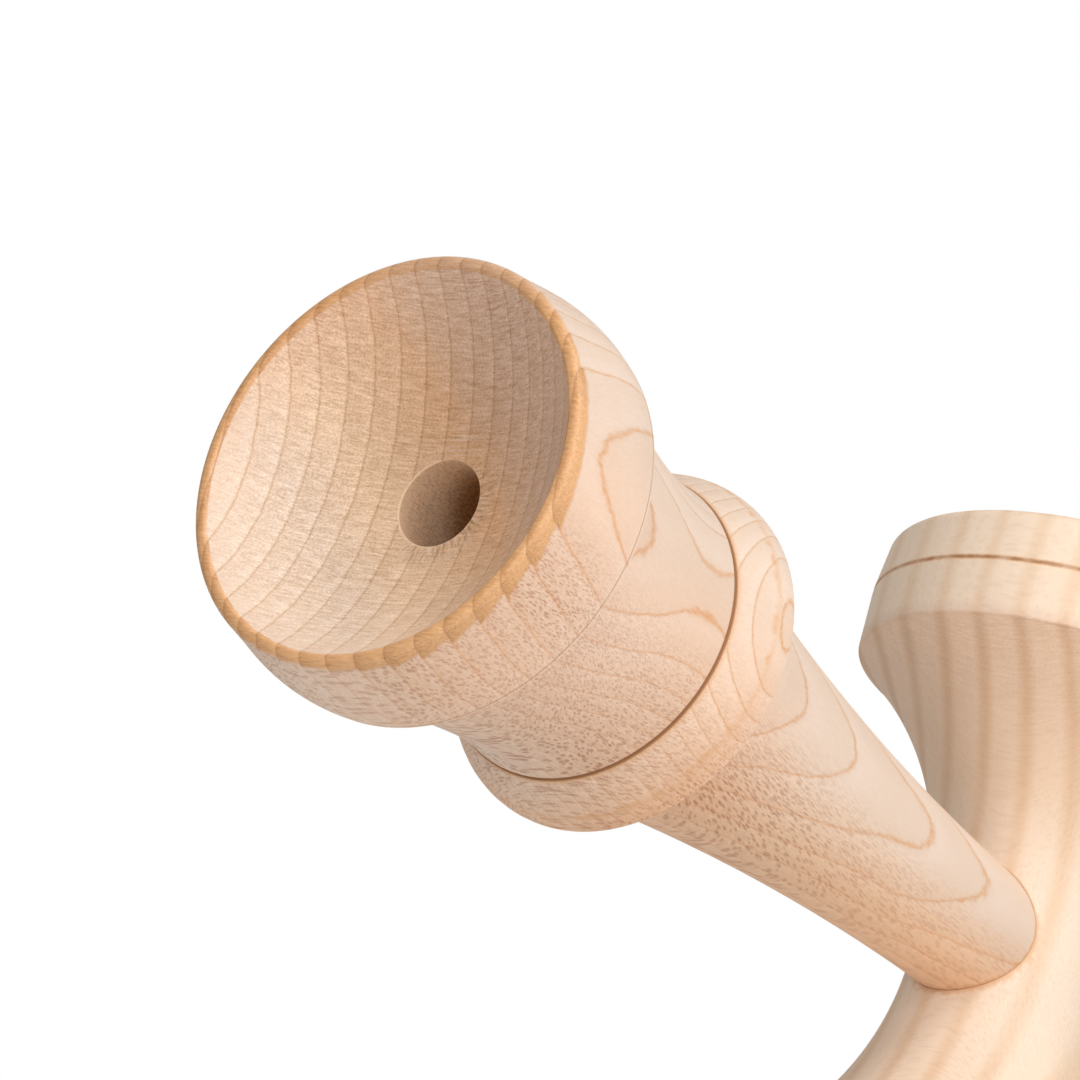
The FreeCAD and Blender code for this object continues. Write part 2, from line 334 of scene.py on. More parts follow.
def finish_piece(piece, body, node, material):
    """Smooths the shading, gives the material and says which body and node the piece stands for."""
    piece.data.shade_smooth()
    piece.data.set_sharp_from_angle(angle=CRISP_EDGE)
    piece.data.materials.clear()
    piece.data.materials.append(material)
    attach(piece, body)
    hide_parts(node)


class Graph:
    """Short ways to add nodes to a shader. Any input can be a number or another node's output."""

    def __init__(self, tree):
        self.tree = tree

    def feed(self, socket, value):
        if isinstance(value, bpy.types.NodeSocket):
            self.tree.links.new(value, socket)
        elif value is not None:
            socket.default_value = value

    def node(self, kind, *values, **settings):
        node = self.tree.nodes.new("ShaderNode" + kind)
        for key, value in settings.items():
            setattr(node, key, value)
        for socket, value in zip(node.inputs, values):
            self.feed(socket, value)
        return node

    def math(self, operation, *values):
        return self.node("Math", *values, operation=operation).outputs[0]

    def product(self, first, *others):
        for value in others:
            first = self.math("MULTIPLY", first, value)
        return first

    def total(self, first, *others):
        for value in others:
            first = self.math("ADD", first, value)
        return first

    def less(self, first, second):
        return self.math("SUBTRACT", first, second)

    def size(self, value):
        return self.math("ABSOLUTE", value)

    def uneven(self, vector, detail=2.0, roughness=0.5):
        """Noise around 0 instead of around a half."""
        return self.less(self.noise(vector, detail, roughness), 0.5)

    def vector(self, operation, *values):
        node = self.node("VectorMath", operation=operation)
        for socket, value in zip(node.inputs, values):
            self.feed(socket, value)
        return node.outputs["Value" if operation in {"LENGTH", "DOT_PRODUCT"} else "Vector"]

    def scale(self, vector, factor):
        node = self.node("VectorMath", operation="SCALE")
        self.feed(node.inputs[0], vector)
        self.feed(node.inputs["Scale"], factor)
        return node.outputs[0]

    def parts(self, vector):
        return self.node("SeparateXYZ", vector).outputs[:3]

    def join(self, x, y, z):
        return self.node("CombineXYZ", x, y, z).outputs[0]

    def stretch(self, vector, x, y, z):
        return self.vector("MULTIPLY", vector, (x, y, z))

    def noise(self, vector, detail=2.0, roughness=0.5):
        """Noise of about one swell in each unit of the vector."""
        node = self.node("TexNoise", noise_dimensions="3D")
        self.feed(node.inputs["Vector"], vector)
        for name, value in (("Scale", 1.0), ("Detail", detail), ("Roughness", roughness)):
            self.feed(node.inputs[name], value)
        return node.outputs[0]

    def cells(self, vector):
        """Distance to the nearest random point, and a random colour for each."""
        node = self.node("TexVoronoi", voronoi_dimensions="3D", feature="F1")
        self.feed(node.inputs["Vector"], vector)
        self.feed(node.inputs["Scale"], 1.0)
        return node.outputs["Distance"], node.outputs["Color"]

    def between(self, value, low, high, out_low=0.0, out_high=1.0, smooth=True):
        """Goes from out_low to out_high while the value goes from low to high."""
        node = self.node("MapRange", value, low, high, out_low, out_high, clamp=True)
        node.interpolation_type = "SMOOTHSTEP" if smooth else "LINEAR"
        return node.outputs[0]

    def bump_at(self, value, centre, half_width):
        """1 at the centre, falling to 0 at half_width on both sides."""
        off = self.size(self.less(value, centre))
        return self.between(off, 0.0, half_width, 1.0, 0.0)

    def ramp(self, value, stops):
        """Follows (place, colour) stops from 0 to 1, with straight lines between them."""
        node = self.node("ValToRGB", value)
        elements = node.color_ramp.elements
        elements[0].color = (*stops[0][1], 1.0)
        elements[1].color = (*stops[-1][1], 1.0)
        for place, tint in stops[1:-1]:
            elements.new(place).color = (*tint, 1.0)
        return node.outputs[0]

    def mix_value(self, factor, first, second):
        return self.total(first, self.product(self.less(second, first), factor))

    def mix(self, factor, first, second, blend="MIX"):
        node = self.node("Mix", data_type="RGBA", blend_type=blend)
        self.feed(node.inputs[0], factor)
        for socket, value in ((node.inputs[6], first), (node.inputs[7], second)):
            self.feed(socket, value if isinstance(value, bpy.types.NodeSocket) else (*value, 1.0))
        return node.outputs[2]


# How dark the wood is from one ring line (0) through a year's growth to the next line (1)
YEAR_STOPS = ((0.0, 1.0), (0.03, 0.8), (0.07, 0.56), (0.14, 0.46), (0.3, 0.44), (0.5, 0.34), (0.68, 0.15),
              (0.84, 0.0), (0.9, 0.05), (0.94, 0.3), (0.97, 0.75), (1.0, 1.0))


def figure_group():
    """Node group for the solid wood. Its input is a place in the log in millimetres, as
    (across the rays, along the rays, along the grain), and the count of ring lines up to it."""
    tree = bpy.data.node_groups.new("Wood figure", "ShaderNodeTree")
    tree.interface.new_socket("Place", in_out="INPUT", socket_type="NodeSocketVector")
    tree.interface.new_socket("Rings", in_out="INPUT", socket_type="NodeSocketFloat")
    for name in ("Phase", "Year", "Line", "Soft line", "Ray", "Streak", "Speckle", "Fibre", "Tone"):
        tree.interface.new_socket(name, in_out="OUTPUT", socket_type="NodeSocketFloat")
    g = Graph(tree)
    entry = tree.nodes.new("NodeGroupInput")
    place, rings = entry.outputs[0], entry.outputs[1]
    phase = g.math("FRACT", rings)
    year = g.ramp(phase, [(place_in_year, (dark,) * 3) for place_in_year, dark in YEAR_STOPS])
    line = g.math("MAXIMUM", g.between(phase, 0.0, 0.05, 1.0, 0.0), g.between(phase, 0.945, 1.0))
    soft_line = g.between(g.size(g.less(phase, 0.5)), 0.22, 0.5)
    # Rays are thin ribbons. They show as long dashes, dots or flecks by the way they are cut
    sway = g.uneven(g.stretch(place, 0.3, 0.06, 0.2), 1.0)
    swayed = g.vector("ADD", place, g.join(sway, 0.0, 0.0))
    # A ray is 0.16 mm thick, 2.6 mm deep and 0.62 mm high
    ray_distance, ray_random = g.cells(g.stretch(swayed, 1 / 0.16, 1 / 2.6, 1 / 0.62))
    ray_size = g.between(g.parts(ray_random)[0], 0.0, 1.0, 0.32, 0.6, smooth=False)
    ray = g.between(g.math("DIVIDE", ray_distance, ray_size), 0.5, 1.15, 1.0, 0.0)
    streak = g.noise(g.stretch(swayed, 5.5, 0.5, 1.3), 2.0, 0.6)
    speckle = g.noise(g.stretch(place, 7.0, 6.0, 4.0), 1.0, 0.6)
    fibre = g.noise(g.stretch(place, 4.0, 4.0, 0.4), 3.0, 0.6)
    tone = g.noise(g.stretch(place, 0.09, 0.09, 0.03))
    leave = tree.nodes.new("NodeGroupOutput")
    for socket, value in zip(leave.inputs, (phase, year, line, soft_line, ray, streak, speckle, fibre, tone)):
        tree.links.new(value, socket)
    return tree


def add_figure(g, place, rings):
    """The outputs of the wood figure at a place in the log, by name."""
    tree = bpy.data.node_groups.get("Wood figure") or figure_group()
    node = g.tree.nodes.new("ShaderNodeGroup")
    node.node_tree = tree
    g.feed(node.inputs[0], place)
    g.feed(node.inputs[1], rings)
    return {socket.name: socket for socket in node.outputs}


def wood_colour(g, figure, end_grain, wood, detail=1.0, line_share=1.0, rays=1.0, soft_rings=False):
    """Colour of the bare wood from its figure. end_grain is 1 where the surface cuts across the grain.
    Soft rings are broad bands without a crisp line."""
    year = figure["Soft line" if soft_rings else "Year"]
    ring_line = figure["Soft line" if soft_rings else "Line"]
    cream = g.mix(end_grain, wood.cream, wood.end_cream)
    tan = g.mix(end_grain, wood.tan, wood.end_tan)
    line = g.mix(end_grain, wood.line, wood.end_line)
    base = g.mix(g.product(year, g.between(end_grain, 0.0, 1.0, 0.36, 0.66)), cream, tan)
    broken = g.between(figure["Fibre"], 0.28, 0.72, 0.35, 1.4)
    line_strength = g.between(end_grain, 0.0, 1.0, 0.5, 0.34)
    base = g.mix(g.product(ring_line, line_strength, line_share, broken), base, line)
    crowd = g.between(figure["Tone"], 0.3, 0.65, 1.0, 0.55)
    ray_strength = g.between(end_grain, 0.25, 0.8, 0.74, 0.12)
    base = g.mix(g.product(figure["Ray"], ray_strength, rays, crowd, detail), base, wood.fleck)

    def by_grain(name, on_long_grain, on_end_grain):
        share = g.between(end_grain, 0.2, 0.8, on_long_grain, on_end_grain)
        return g.product(g.less(figure[name], 0.5), share)

    # The long grain is smooth where few rays show
    rough = g.mix_value(g.between(end_grain, 0.2, 0.8), g.between(rays, 0.0, 1.0, 0.4, 1.5), 1.0)
    streak = by_grain("Streak", 0.14, 0.8)
    speckle = by_grain("Speckle", 0.22, 0.75)
    fibre = by_grain("Fibre", 0.2, 0.05)
    tone = g.product(g.less(figure["Tone"], 0.5), 0.2)
    fine = g.product(g.total(streak, speckle, fibre), rough, detail)
    # Pale fibres are whiter and dark ones browner than the rest
    shade = [g.total(1.0, tone, g.product(fine, amount)) for amount in (0.85, 1.2, 1.6)]
    return g.vector("MULTIPLY", base, g.join(*shade))


def new_material(name):
    material = bpy.data.materials.new(name)
    material.use_nodes = True
    material.node_tree.nodes.clear()
    return material, Graph(material.node_tree)


def finish_wood(g, base, figure, end_grain, roughness, detail=1.0, relief=0.0):
    """The surface itself: satin bare wood whose fibres, rays and end grain are just felt."""
    height = g.product(g.total(figure["Streak"], figure["Speckle"]), g.between(end_grain, 0.2, 0.8, 0.3, 1.0))
    height = g.total(height, g.product(figure["Fibre"], 0.5), g.product(figure["Ray"], -0.06))
    bump = g.node("Bump")
    bump.inputs["Strength"].default_value = 0.3
    bump.inputs["Distance"].default_value = 0.06 * MM
    g.feed(bump.inputs["Height"], g.total(g.product(height, detail), relief))
    shader = g.node("BsdfPrincipled")
    g.feed(shader.inputs["Base Color"], base)
    g.feed(shader.inputs["Roughness"], roughness)
    g.feed(shader.inputs["Normal"], bump.outputs[0])
    shader.inputs["Specular IOR Level"].default_value = 0.4
    output = g.node("OutputMaterial")
    g.tree.links.new(shader.outputs[0], output.inputs[0])


def grain_cut(g, facing, axis):
    """1 where the surface cuts straight across a grain that runs along this axis, and 0 along the grain."""
    return g.math("POWER", g.size(g.parts(facing)[axis]), 1.5)


def away_from_axis(g, x, y):
    return g.math("SQRT", g.total(g.product(x, x), g.product(y, y)))


def object_place(g):
    """Place on the object in millimetres, and how far the surface faces each axis."""
    coordinates = g.node("TexCoord")
    return g.scale(coordinates.outputs["Object"], 1 / MM), coordinates.outputs["Normal"]


def powers(g, value, *shares):
    """Adds up shares of the powers of a value, from the zeroth up."""
    result = shares[-1]
    for item in reversed(shares[:-1]):
        result = g.total(g.product(value, result), item)
    return result


def grip_rings(g, place):
    """Ring count in the grip, seat and spike, where the sheets lean slowly to and fro along the log."""
    x, y, z = g.parts(place)
    first_ring, ring_width = 15.3, 2.245
    lean, lean_start, lean_wave = 2.89, 3.7, 2 * math.pi / 192
    leaning = g.product(g.math("SINE", g.product(g.less(z, lean_start), lean_wave)), lean)
    drift = g.total(leaning, lean * math.sin(lean_start * lean_wave))
    height = g.total(g.less(y, drift), g.product(x, 0.138), g.product(x, x, -0.0065))
    count = g.math("DIVIDE", g.less(first_ring, height), ring_width)
    swing = g.math("SINE", g.product(g.less(height, 2.0), 2 * math.pi / 28))
    swing = g.product(g.math("MAXIMUM", swing, 0.0), 0.38)
    outer = g.math("MINIMUM", g.math("MAXIMUM", g.less(-13.0, height), 0.0), 7.0)
    close = g.product(g.math("POWER", outer, 2.4), 0.012)
    dip = g.product(g.bump_at(z, 79.0, 9.0), 0.25)
    start = g.between(z, 40.0, 50.0, -1.0, -1.4)
    return g.total(count, swing, close, dip, start)


def handle_rings(g, place, radius, rim_radius):
    """Counts the ring lines up to a place. The log runs up the handle, and its rings are bent sheets that
    face Y. They crowd towards -Y, turn and bow across it, and lean as they climb."""
    x, y, z = g.parts(place)
    # The swollen wall of the base cup is cut as if it were straight
    straight = g.math("MINIMUM", g.math("DIVIDE", rim_radius, radius), 1.0)
    # The terms of the count are written for a log 18 mm in radius and 30 mm high
    side = g.product(x, 1 / 18)
    out = g.product(y, straight, 1 / 18)
    up = g.product(z, 1 / 30)
    crowding = powers(g, out, 7.97, -6.02, -1.03, -1.99)
    turn = g.product(side, powers(g, out, -0.22, 0.63, -0.57))
    bow = g.product(side, side, powers(g, out, -0.85, -0.93))
    climb = g.product(up, g.total(g.product(side, 1.04), g.product(out, -3.85), -1.3))
    lean = g.product(up, up, g.total(g.product(side, -1.94), g.product(out, -0.72), -1.46))
    count = g.total(crowding, turn, bow, climb, lean)
    count = g.mix_value(g.between(z, 39.2, 42.5), count, grip_rings(g, place))
    slow = g.product(g.uneven(g.stretch(place, 0.09, 0.12, 0.03), 1.0), 0.12)
    quick = g.product(g.uneven(g.stretch(place, 0.9, 0.9, 0.6), 3.0, 0.6), 0.14)
    return g.total(count, slow, quick)


def add_bowl_painted_light(g, base, end_grain, place):
    """Painted light and shade in the bowl's end grain: it is made pale towards +Y and +X as a painted sheen,
    and goes over orange to brown at the other side as painted shade.
    """
    x, y, z = g.parts(place)
    painted_light_slope = g.between(g.total(g.product(y, 0.75), g.product(x, 0.65)), -12.0, 10.0, smooth=False)
    tint = g.ramp(painted_light_slope, (
        (0.0, (0.83, 0.735, 0.70)), (0.2, (0.85, 0.73, 0.64)), (0.36, (0.95, 0.755, 0.56)),
        (0.56, (1.0, 0.88, 0.72)), (0.8, (1.09, 1.03, 0.92)), (1.0, (0.97, 1.0, 1.02))))
    inside = g.product(end_grain, g.between(z, 9.5, 10.5, 1.0, 0.0))
    return g.mix(inside, base, tint, "MULTIPLY")


def add_burnt_rim(g, base, figure, place, radius, h, wood):
    """The burnished rim. Its outer limit steps down the wall after each ring line and climbs to the next."""
    x, y, z = g.parts(place)
    side = g.between(g.less(g.product(x, 0.45), g.product(y, 0.89)), 5.0, 18.0)
    ragged = g.product(g.uneven(g.scale(place, 0.7)), 0.45)
    streaks = g.uneven(g.stretch(place, 6.0, 0.7, 6.0), 2.0, 0.6)
    fall = g.less(1.0, figure["Phase"])
    limit = g.total(0.25, g.product(fall, g.total(g.product(side, 0.55), 0.2)), g.product(side, 0.85), ragged)
    depth = g.less(z, g.total(limit, g.product(streaks, 0.35)))
    outside_bowl = g.between(g.less(radius, h.bowl_radius / MM), -0.07, 0.01)
    rim = g.product(g.between(depth, -0.2, 0.1, 1.0, 0.0), outside_bowl)
    glow = g.product(g.between(depth, -0.6, -0.1), g.between(depth, -0.05, 0.4, 1.0, 0.0), outside_bowl)
    shade = g.total(1.13, g.product(fall, fall, -0.34), g.product(streaks, 1.1))
    shade = g.total(shade, g.between(y, 2.0, 16.0, 0.0, -0.12))
    # Darker places are redder
    shade = g.join(g.total(0.25, g.product(shade, 0.75)), shade, g.less(g.product(shade, 1.3), 0.3))
    grained = g.vector("MULTIPLY", wood.burnish, shade)
    base = g.mix(g.product(glow, g.total(0.2, g.product(side, 0.35))), base, wood.deep_burnish)
    base = g.mix(g.product(rim, g.between(x, -19.0, -13.0, 0.32, 0.88)), base, grained)
    ticks = g.product(rim, figure["Line"], 0.5)
    return g.mix(ticks, base, wood.end_line), rim


def add_seat_darkening(g, base, place, stand_off, wood):
    """Darkens the wood towards the burnish colour, up to a ragged reach in millimetres from where the two
    pieces meet, reaching further towards +X.
    """
    reach = g.between(g.noise(g.scale(place, 1.6)), 0.3, 0.7, 0.12, 0.6)
    reach = g.product(reach, g.between(g.parts(place)[0], -3.5, 5.0, 0.35, 1.7))
    darkened = g.between(g.math("DIVIDE", stand_off, reach), 0.0, 1.0, 0.6, 0.0)
    under = g.between(stand_off, -1.2, -0.2, 0.3, 1.0)
    return g.mix(g.product(darkened, under), base, wood.burnish)


def off_the_waist(g, place, cross, cup):
    """How far a place on the handle is from the skin of the cross-piece's waist, in millimetres."""
    x, y, z = g.parts(place)
    rise = g.less(z, cross.height / MM)
    past_waist = g.math("MAXIMUM", g.less(g.size(x), cross.waist_half_width / MM), 0.0)
    swell = g.product(past_waist, past_waist, MM / (2 * flank_radius(cup, cross)))
    return g.less(g.less(away_from_axis(g, y, rise), cross.waist_radius / MM), swell)


def add_hole_with_painted_light(g, base, place, radius, h, wood):
    """The drilled hole in the bowl: brown and rough inside, with painted light on its wall towards +X and +Y
    and painted shade on the rest, a fuzzy pale lip painted brighter on its lit side, and torn fibres round
    it.
    """
    x, y, z = g.parts(place)
    edge = h.hole_radius / MM
    above_bowl = g.product(g.between(z, 8.3, 8.8), g.between(z, 30.0, 31.0, 1.0, 0.0))
    hole = g.product(g.between(g.less(radius, edge), 0.0, 0.05, 1.0, 0.0), above_bowl)
    # Painted light and shade: the wall towards +X and +Y is painted lit, and the rest of the hole is painted
    # dark
    painted_dark_side = g.between(g.total(z, g.product(x, -0.82), g.product(y, -0.54)), 11.8, 17.0)
    grit = g.uneven(g.stretch(place, 5.0, 5.0, 2.2), 3.0, 0.75)
    wall = g.mix(painted_dark_side, wood.bore, g.scale(wood.deep_burnish, 0.7))
    pits = g.product(g.between(grit, -0.14, 0.1, 1.0, 0.0), g.mix_value(painted_dark_side, 0.42, 0.72))
    wall = g.mix(pits, wall, g.scale(wood.burnish, g.mix_value(painted_dark_side, 0.55, 0.2)))
    base = g.mix(hole, base, wall)
    in_bowl = g.between(z, 9.4, 10.0, 1.0, 0.0)
    ragged = g.product(g.noise(g.scale(place, 4.5), 3.0, 0.75), 0.5)
    # Painted light: the pale lip is brighter on the lit side of the hole
    painted_lit_side = g.between(g.total(g.product(x, 0.5), g.product(y, 0.85)), -2.5, 2.5, 0.1, 0.95)
    lip = g.bump_at(g.total(radius, ragged), edge + 0.32, 0.15)
    base = g.mix(g.product(lip, in_bowl, painted_lit_side), base, wood.bore)
    # Rays stand out pale beside the hole
    stripes = g.between(g.noise(g.stretch(place, 4.5, 0.3, 1.0), 1.0), 0.5, 0.66)
    pale = g.product(g.bump_at(x, -5.6, 2.2), g.bump_at(y, -0.6, 2.6), stripes, in_bowl)
    base = g.mix(g.product(pale, 0.6), base, wood.cream)
    # Torn fibres stand out like spokes, most of them on one side
    around = g.vector("NORMALIZE", g.join(x, y, 0.0))
    spokes = g.vector("ADD", g.scale(around, 15.0), g.join(0.0, 0.0, g.product(radius, 0.6)))
    off = g.less(radius, edge)
    ring = g.product(g.between(off, 0.5, 2.8, 1.0, 0.0), g.between(off, -0.1, 0.0), in_bowl)
    towards = g.between(g.less(g.product(x, 0.6), g.product(y, 0.8)), -1.5, 3.5, 0.12, 1.0)
    torn = g.product(g.uneven(spokes, 3.0, 0.7), ring, towards)
    base = g.mix(g.product(g.math("MAXIMUM", torn, 0.0), 4.5), base, wood.cream)
    base = g.scale(base, g.total(1.0, g.product(g.math("MINIMUM", torn, 0.0), 2.6)))
    return base, g.total(g.product(torn, 6.0), g.product(grit, hole, 6.0))


def handle_material(settings):
    h, wood = settings.handle, settings.wood
    back, line, crest = h.height / MM, h.line_height / MM, h.bead_crest_height / MM
    material, g = new_material("handle_wood")
    place, facing = object_place(g)
    x, y, z = g.parts(place)
    radius = away_from_axis(g, x, y)
    # The grip's fibres and rays are drawn out along it
    grip_foot = 40.0
    up_the_grip = g.math("MAXIMUM", g.less(z, grip_foot), 0.0)
    log = g.join(x, y, g.total(g.math("MINIMUM", z, grip_foot), g.product(up_the_grip, 0.45)))
    figure = add_figure(g, log, handle_rings(g, place, radius, h.rim_radius / MM))
    end_grain = grain_cut(g, facing, 2)
    detail = g.between(z, 36.0, 95.0, 1.0, 0.45)
    # The rays show where the surface turns away from the faces of the rings
    facing_x = g.parts(facing)[0]
    long_grain = g.less(1.0, end_grain)
    rays = g.total(g.between(facing_x, 0.02, 0.6, 0.08, 1.0), g.between(facing_x, -1.0, -0.6, 0.4, 0.0))
    rays = g.product(rays, g.less(1.0, g.product(g.bump_at(z, crest - 0.4, 4.5), 0.4)))
    faint = g.mix_value(long_grain, 1.0, g.between(rays, 0.3, 1.0, 1.35, 0.8))
    base = wood_colour(g, figure, end_grain, wood, detail, faint, rays)
    # Painted sheen on the bowl's pale side and painted shade on its brown side
    base = add_bowl_painted_light(g, base, end_grain, place)
    # The faces along the rays are more orange than the others, partly as the wood is and partly as painted
    # warm shade on the side that faces +X
    quarter_and_painted_shade = g.product(g.between(facing_x, -0.1, 0.95), long_grain, g.between(z, 30.0, 40.0, 0.3, 1.0))
    base = g.mix(quarter_and_painted_shade, base, (1.06, 0.87, 0.69), "MULTIPLY")
    # Painted warm light: the side that faces +X and -Y is made more orange, fading out up the grip
    toward = g.vector("DOT_PRODUCT", facing, (0.6, -0.8, 0.0))
    painted_warm_light = g.product(g.between(toward, 0.35, 1.0), long_grain, g.between(z, 41.0, 60.0, 1.0, 0.0))
    base = g.mix(painted_warm_light, base, (1.0, 0.89, 0.81), "MULTIPLY")
    base, rim = add_burnt_rim(g, base, figure, place, radius, h, wood)
    # The back corner of the base cup has a brown line with a pale one beside it
    base = g.mix(g.product(g.bump_at(z, back - 0.58, 0.17), 0.75), base, wood.end_line)
    base = g.mix(g.product(g.bump_at(z, back - 0.18, 0.18), 0.5), base, wood.cream)
    # The crest of the bead is browned in dabs
    dabs = g.between(g.noise(g.scale(place, 0.9)), 0.42, 0.68)
    browned = g.bump_at(g.total(z, g.product(dabs, 0.3)), crest + 0.2, 0.55)
    base = g.mix(g.product(browned, g.total(0.24, g.product(dabs, 0.4))), base, wood.line)
    # The burnt line has a soft glow on both sides
    base = g.mix(g.product(g.bump_at(z, line + 0.12, 0.5), 0.6), base, wood.burnish)
    burn = g.between(g.size(g.less(z, line)), 0.09, 0.25, 0.92, 0.0)
    base = g.mix(burn, base, wood.scorch)
    # The drilled hole, with painted light on one side of its wall and painted shade on the rest
    base, torn = add_hole_with_painted_light(g, base, place, radius, h, wood)
    stand_off = off_the_waist(g, place, settings.cross, settings.big_cup)
    # Darker wood round the place where the cross-piece meets the handle
    base = add_seat_darkening(g, base, place, stand_off, wood)
    roughness = g.less(0.6, g.product(rim, 0.16))
    finish_wood(g, base, figure, end_grain, roughness, detail, torn)
    return material


def cross_material(settings):
    """The cross-piece's log lies along X, and its rings are turned by 9.2 degrees about it."""
    h, cross, wood = settings.handle, settings.cross, settings.wood
    material, g = new_material("cross_piece_wood")
    place, facing = object_place(g)
    x, y, z = g.parts(place)
    rise = g.less(z, cross.height / MM)
    turn = (0.987, 0.16)
    along = g.less(g.product(y, turn[0]), g.product(rise, turn[1]))
    across = g.total(g.product(y, turn[1]), g.product(rise, turn[0]))
    log = g.join(across, along, x)
    wander = g.product(g.uneven(g.stretch(log, 0.05, 0.05, 0.03)), 1.6)
    first_ring, ring_width = 7.1, 4.3
    count = g.math("DIVIDE", g.less(g.total(along, wander), first_ring), -ring_width)
    figure = add_figure(g, log, count)
    end_grain = grain_cut(g, facing, 0)
    patchy = g.between(g.noise(g.stretch(log, 0.16, 0.16, 0.04)), 0.3, 0.7, 0.3, 1.3)
    banded = g.product(g.between(x, -26.5, -24.5, 0.2, 1.0), patchy, 0.35)
    fine_share = 0.4
    base = wood_colour(g, figure, end_grain, wood, fine_share, banded, fine_share, soft_rings=True)
    # The band of the big cup is paler than its hollow back, partly in the wood's own tone and partly as
    # painted light on the band and painted shade under the shoulder
    tint = g.ramp(g.between(x, -27.0, -7.0, smooth=False), (
        (0.0, (1.10, 1.09, 1.02)), (0.07, (1.0, 0.93, 0.86)), (0.65, (0.99, 0.93, 0.83)),
        (1.0, (1.05, 1.05, 1.0))))
    base = g.mix(1.0, base, tint, "MULTIPLY")
    big_off = g.size(g.total(x, (settings.big_cup.side_length - settings.big_cup.line_place) / MM))
    small_off = g.size(g.less(x, (settings.small_cup.side_length - settings.small_cup.line_place) / MM))
    off = g.math("MINIMUM", big_off, small_off)
    broken = g.between(g.noise(g.stretch(place, 0.8, 0.55, 0.55), 3.0), 0.35, 0.62, 1.0, 0.5)
    base = g.mix(g.product(g.between(off, 0.12, 0.42, 0.8, 0.0), broken), base, wood.line)
    base = g.mix(g.product(g.between(off, 0.06, 0.26, 0.75, 0.0), broken), base, wood.scorch)
    radius = away_from_axis(g, x, y)
    # The darkened places start 0.1 mm outside the handle's seat
    foot, top = seat_ends(h, cross)
    seat = (foot, top, h.seat_foot_radius + 0.1 * MM, h.seat_top_radius + 0.1 * MM)
    bore = g.between(z, *(value / MM for value in seat), smooth=False)
    base = add_seat_darkening(g, base, place, g.less(radius, bore), wood)
    finish_wood(g, base, figure, end_grain, 0.58, fine_share)
    return material


def ball_material(wood):
    material, g = new_material("ball_wood")
    place, facing = object_place(g)
    ring_width = 2.8
    wander = g.product(g.noise(g.scale(place, 0.05)), 3.0)
    figure = add_figure(g, place, g.math("DIVIDE", g.total(g.parts(place)[1], wander), ring_width))
    end_grain = grain_cut(g, facing, 2)
    finish_wood(g, wood_colour(g, figure, end_grain, wood), figure, end_grain, 0.5)
    return material


def handle_outline(h, cross, step):
    """The handle's outline from the end of the drilled hole over the rim and the bead to the spike's tip."""
    outline = Outline(0, h.hole_height, step)
    sphere = cap_sphere_radius(h.bowl_radius, h.bowl_depth - h.rim_bevel)
    hole_mouth = h.bowl_depth - sphere + math.sqrt(sphere ** 2 - h.hole_radius ** 2)
    chord = math.hypot(h.bowl_radius - h.hole_radius, hole_mouth - h.rim_bevel)
    outline.line_to(h.hole_radius, h.hole_height - h.hole_point)
    outline.line_to(h.hole_radius, hole_mouth)
    outline.arc_to(h.bowl_radius, h.rim_bevel, -sphere_bulge(sphere, chord))
    outline.line_to(h.bowl_radius + h.rim_bevel, 0)
    outline.line_to(h.rim_radius - h.rim_round, 0)
    outline.arc_to(h.rim_radius, h.rim_round, h.rim_round * QUARTER_SHARE)
    outline.line_to(h.wall_radius, h.wall_height)
    outline.arc_to(h.back_radius, h.height - h.back_ease, h.belly)
    outline.arc_to(h.back_radius - h.back_ease, h.height, h.back_ease * QUARTER_SHARE)
    outline.line_to(h.neck_foot_radius, h.height)
    outline.line_to(h.neck_middle_radius, h.neck_middle_height)
    outline.arc_to(h.neck_top_radius, h.line_height - h.line_half_width, -h.neck_hollow)
    outline.line_to(h.neck_top_radius - h.line_depth, h.line_height)
    outline.line_to(h.bead_foot_radius, h.line_height + h.line_half_width)
    outline.arc_to(h.bead_crest_radius, h.bead_crest_height, h.bead_front_swell)
    outline.arc_to(h.bead_back_radius, h.bead_back_height, h.bead_band_swell)
    outline.line_to(h.bead_back_radius - h.bead_back_ease, h.bead_back_height + h.bead_back_ease)
    outline.line_to(h.bead_heel_radius, h.bead_heel_height)
    outline.arc_to(h.grip_foot_radius, h.grip_foot_height, -h.grip_foot_cove)
    seat_foot, seat_top = seat_ends(h, cross)
    outline.arc_to(h.seat_foot_radius, seat_foot, -h.grip_hollow)
    outline.line_to(h.seat_top_radius, seat_top)
    outline.arc_to(h.spike_end_radius, h.spike_tip_height - h.spike_tip_length, h.spike_swell)
    tip = cap_sphere_radius(h.spike_end_radius, h.spike_tip_length)
    tip_chord = math.hypot(h.spike_end_radius, h.spike_tip_length)
    outline.arc_to(0, h.spike_tip_height, sphere_bulge(tip, tip_chord))
    return outline.eased(CORNER_EASE)


def seat_ends(h, cross):
    """Heights where the handle's tapered seat starts and ends."""
    half_length = cross.waist_radius + h.seat_overlap
    return cross.height - half_length, cross.height + half_length


def seat_radius(h, cross, height):
    """Radius of the handle's seat at a height. The cross-piece's bore follows the same taper."""
    foot, top = seat_ends(h, cross)
    return h.seat_foot_radius + (h.seat_top_radius - h.seat_foot_radius) * (height - foot) / (top - foot)


class KENDAMA_OT_handle(bpy.types.Operator):
    """Turns the handle with its base cup, bead, grip and spike"""
    bl_idname = "kendama.handle"
    bl_label = "Handle"

    def execute(self, context):
        settings = context.scene.kendama
        h, cross = settings.handle, settings.cross
        piece = turned_piece("handle", handle_outline(h, cross, settings.step), UP, Vector(), settings.around)
        reach = Vector((0, h.seat_foot_radius, 0))
        middle = Vector((0, 0, cross.height))
        hole = h.string_hole_radius
        cut_away(piece, cone_cutter(middle - reach, middle + reach, hole, hole, STRING_HOLE_FACETS))
        finish_piece(piece, "ken", "ken", handle_material(settings))
        return {"FINISHED"}


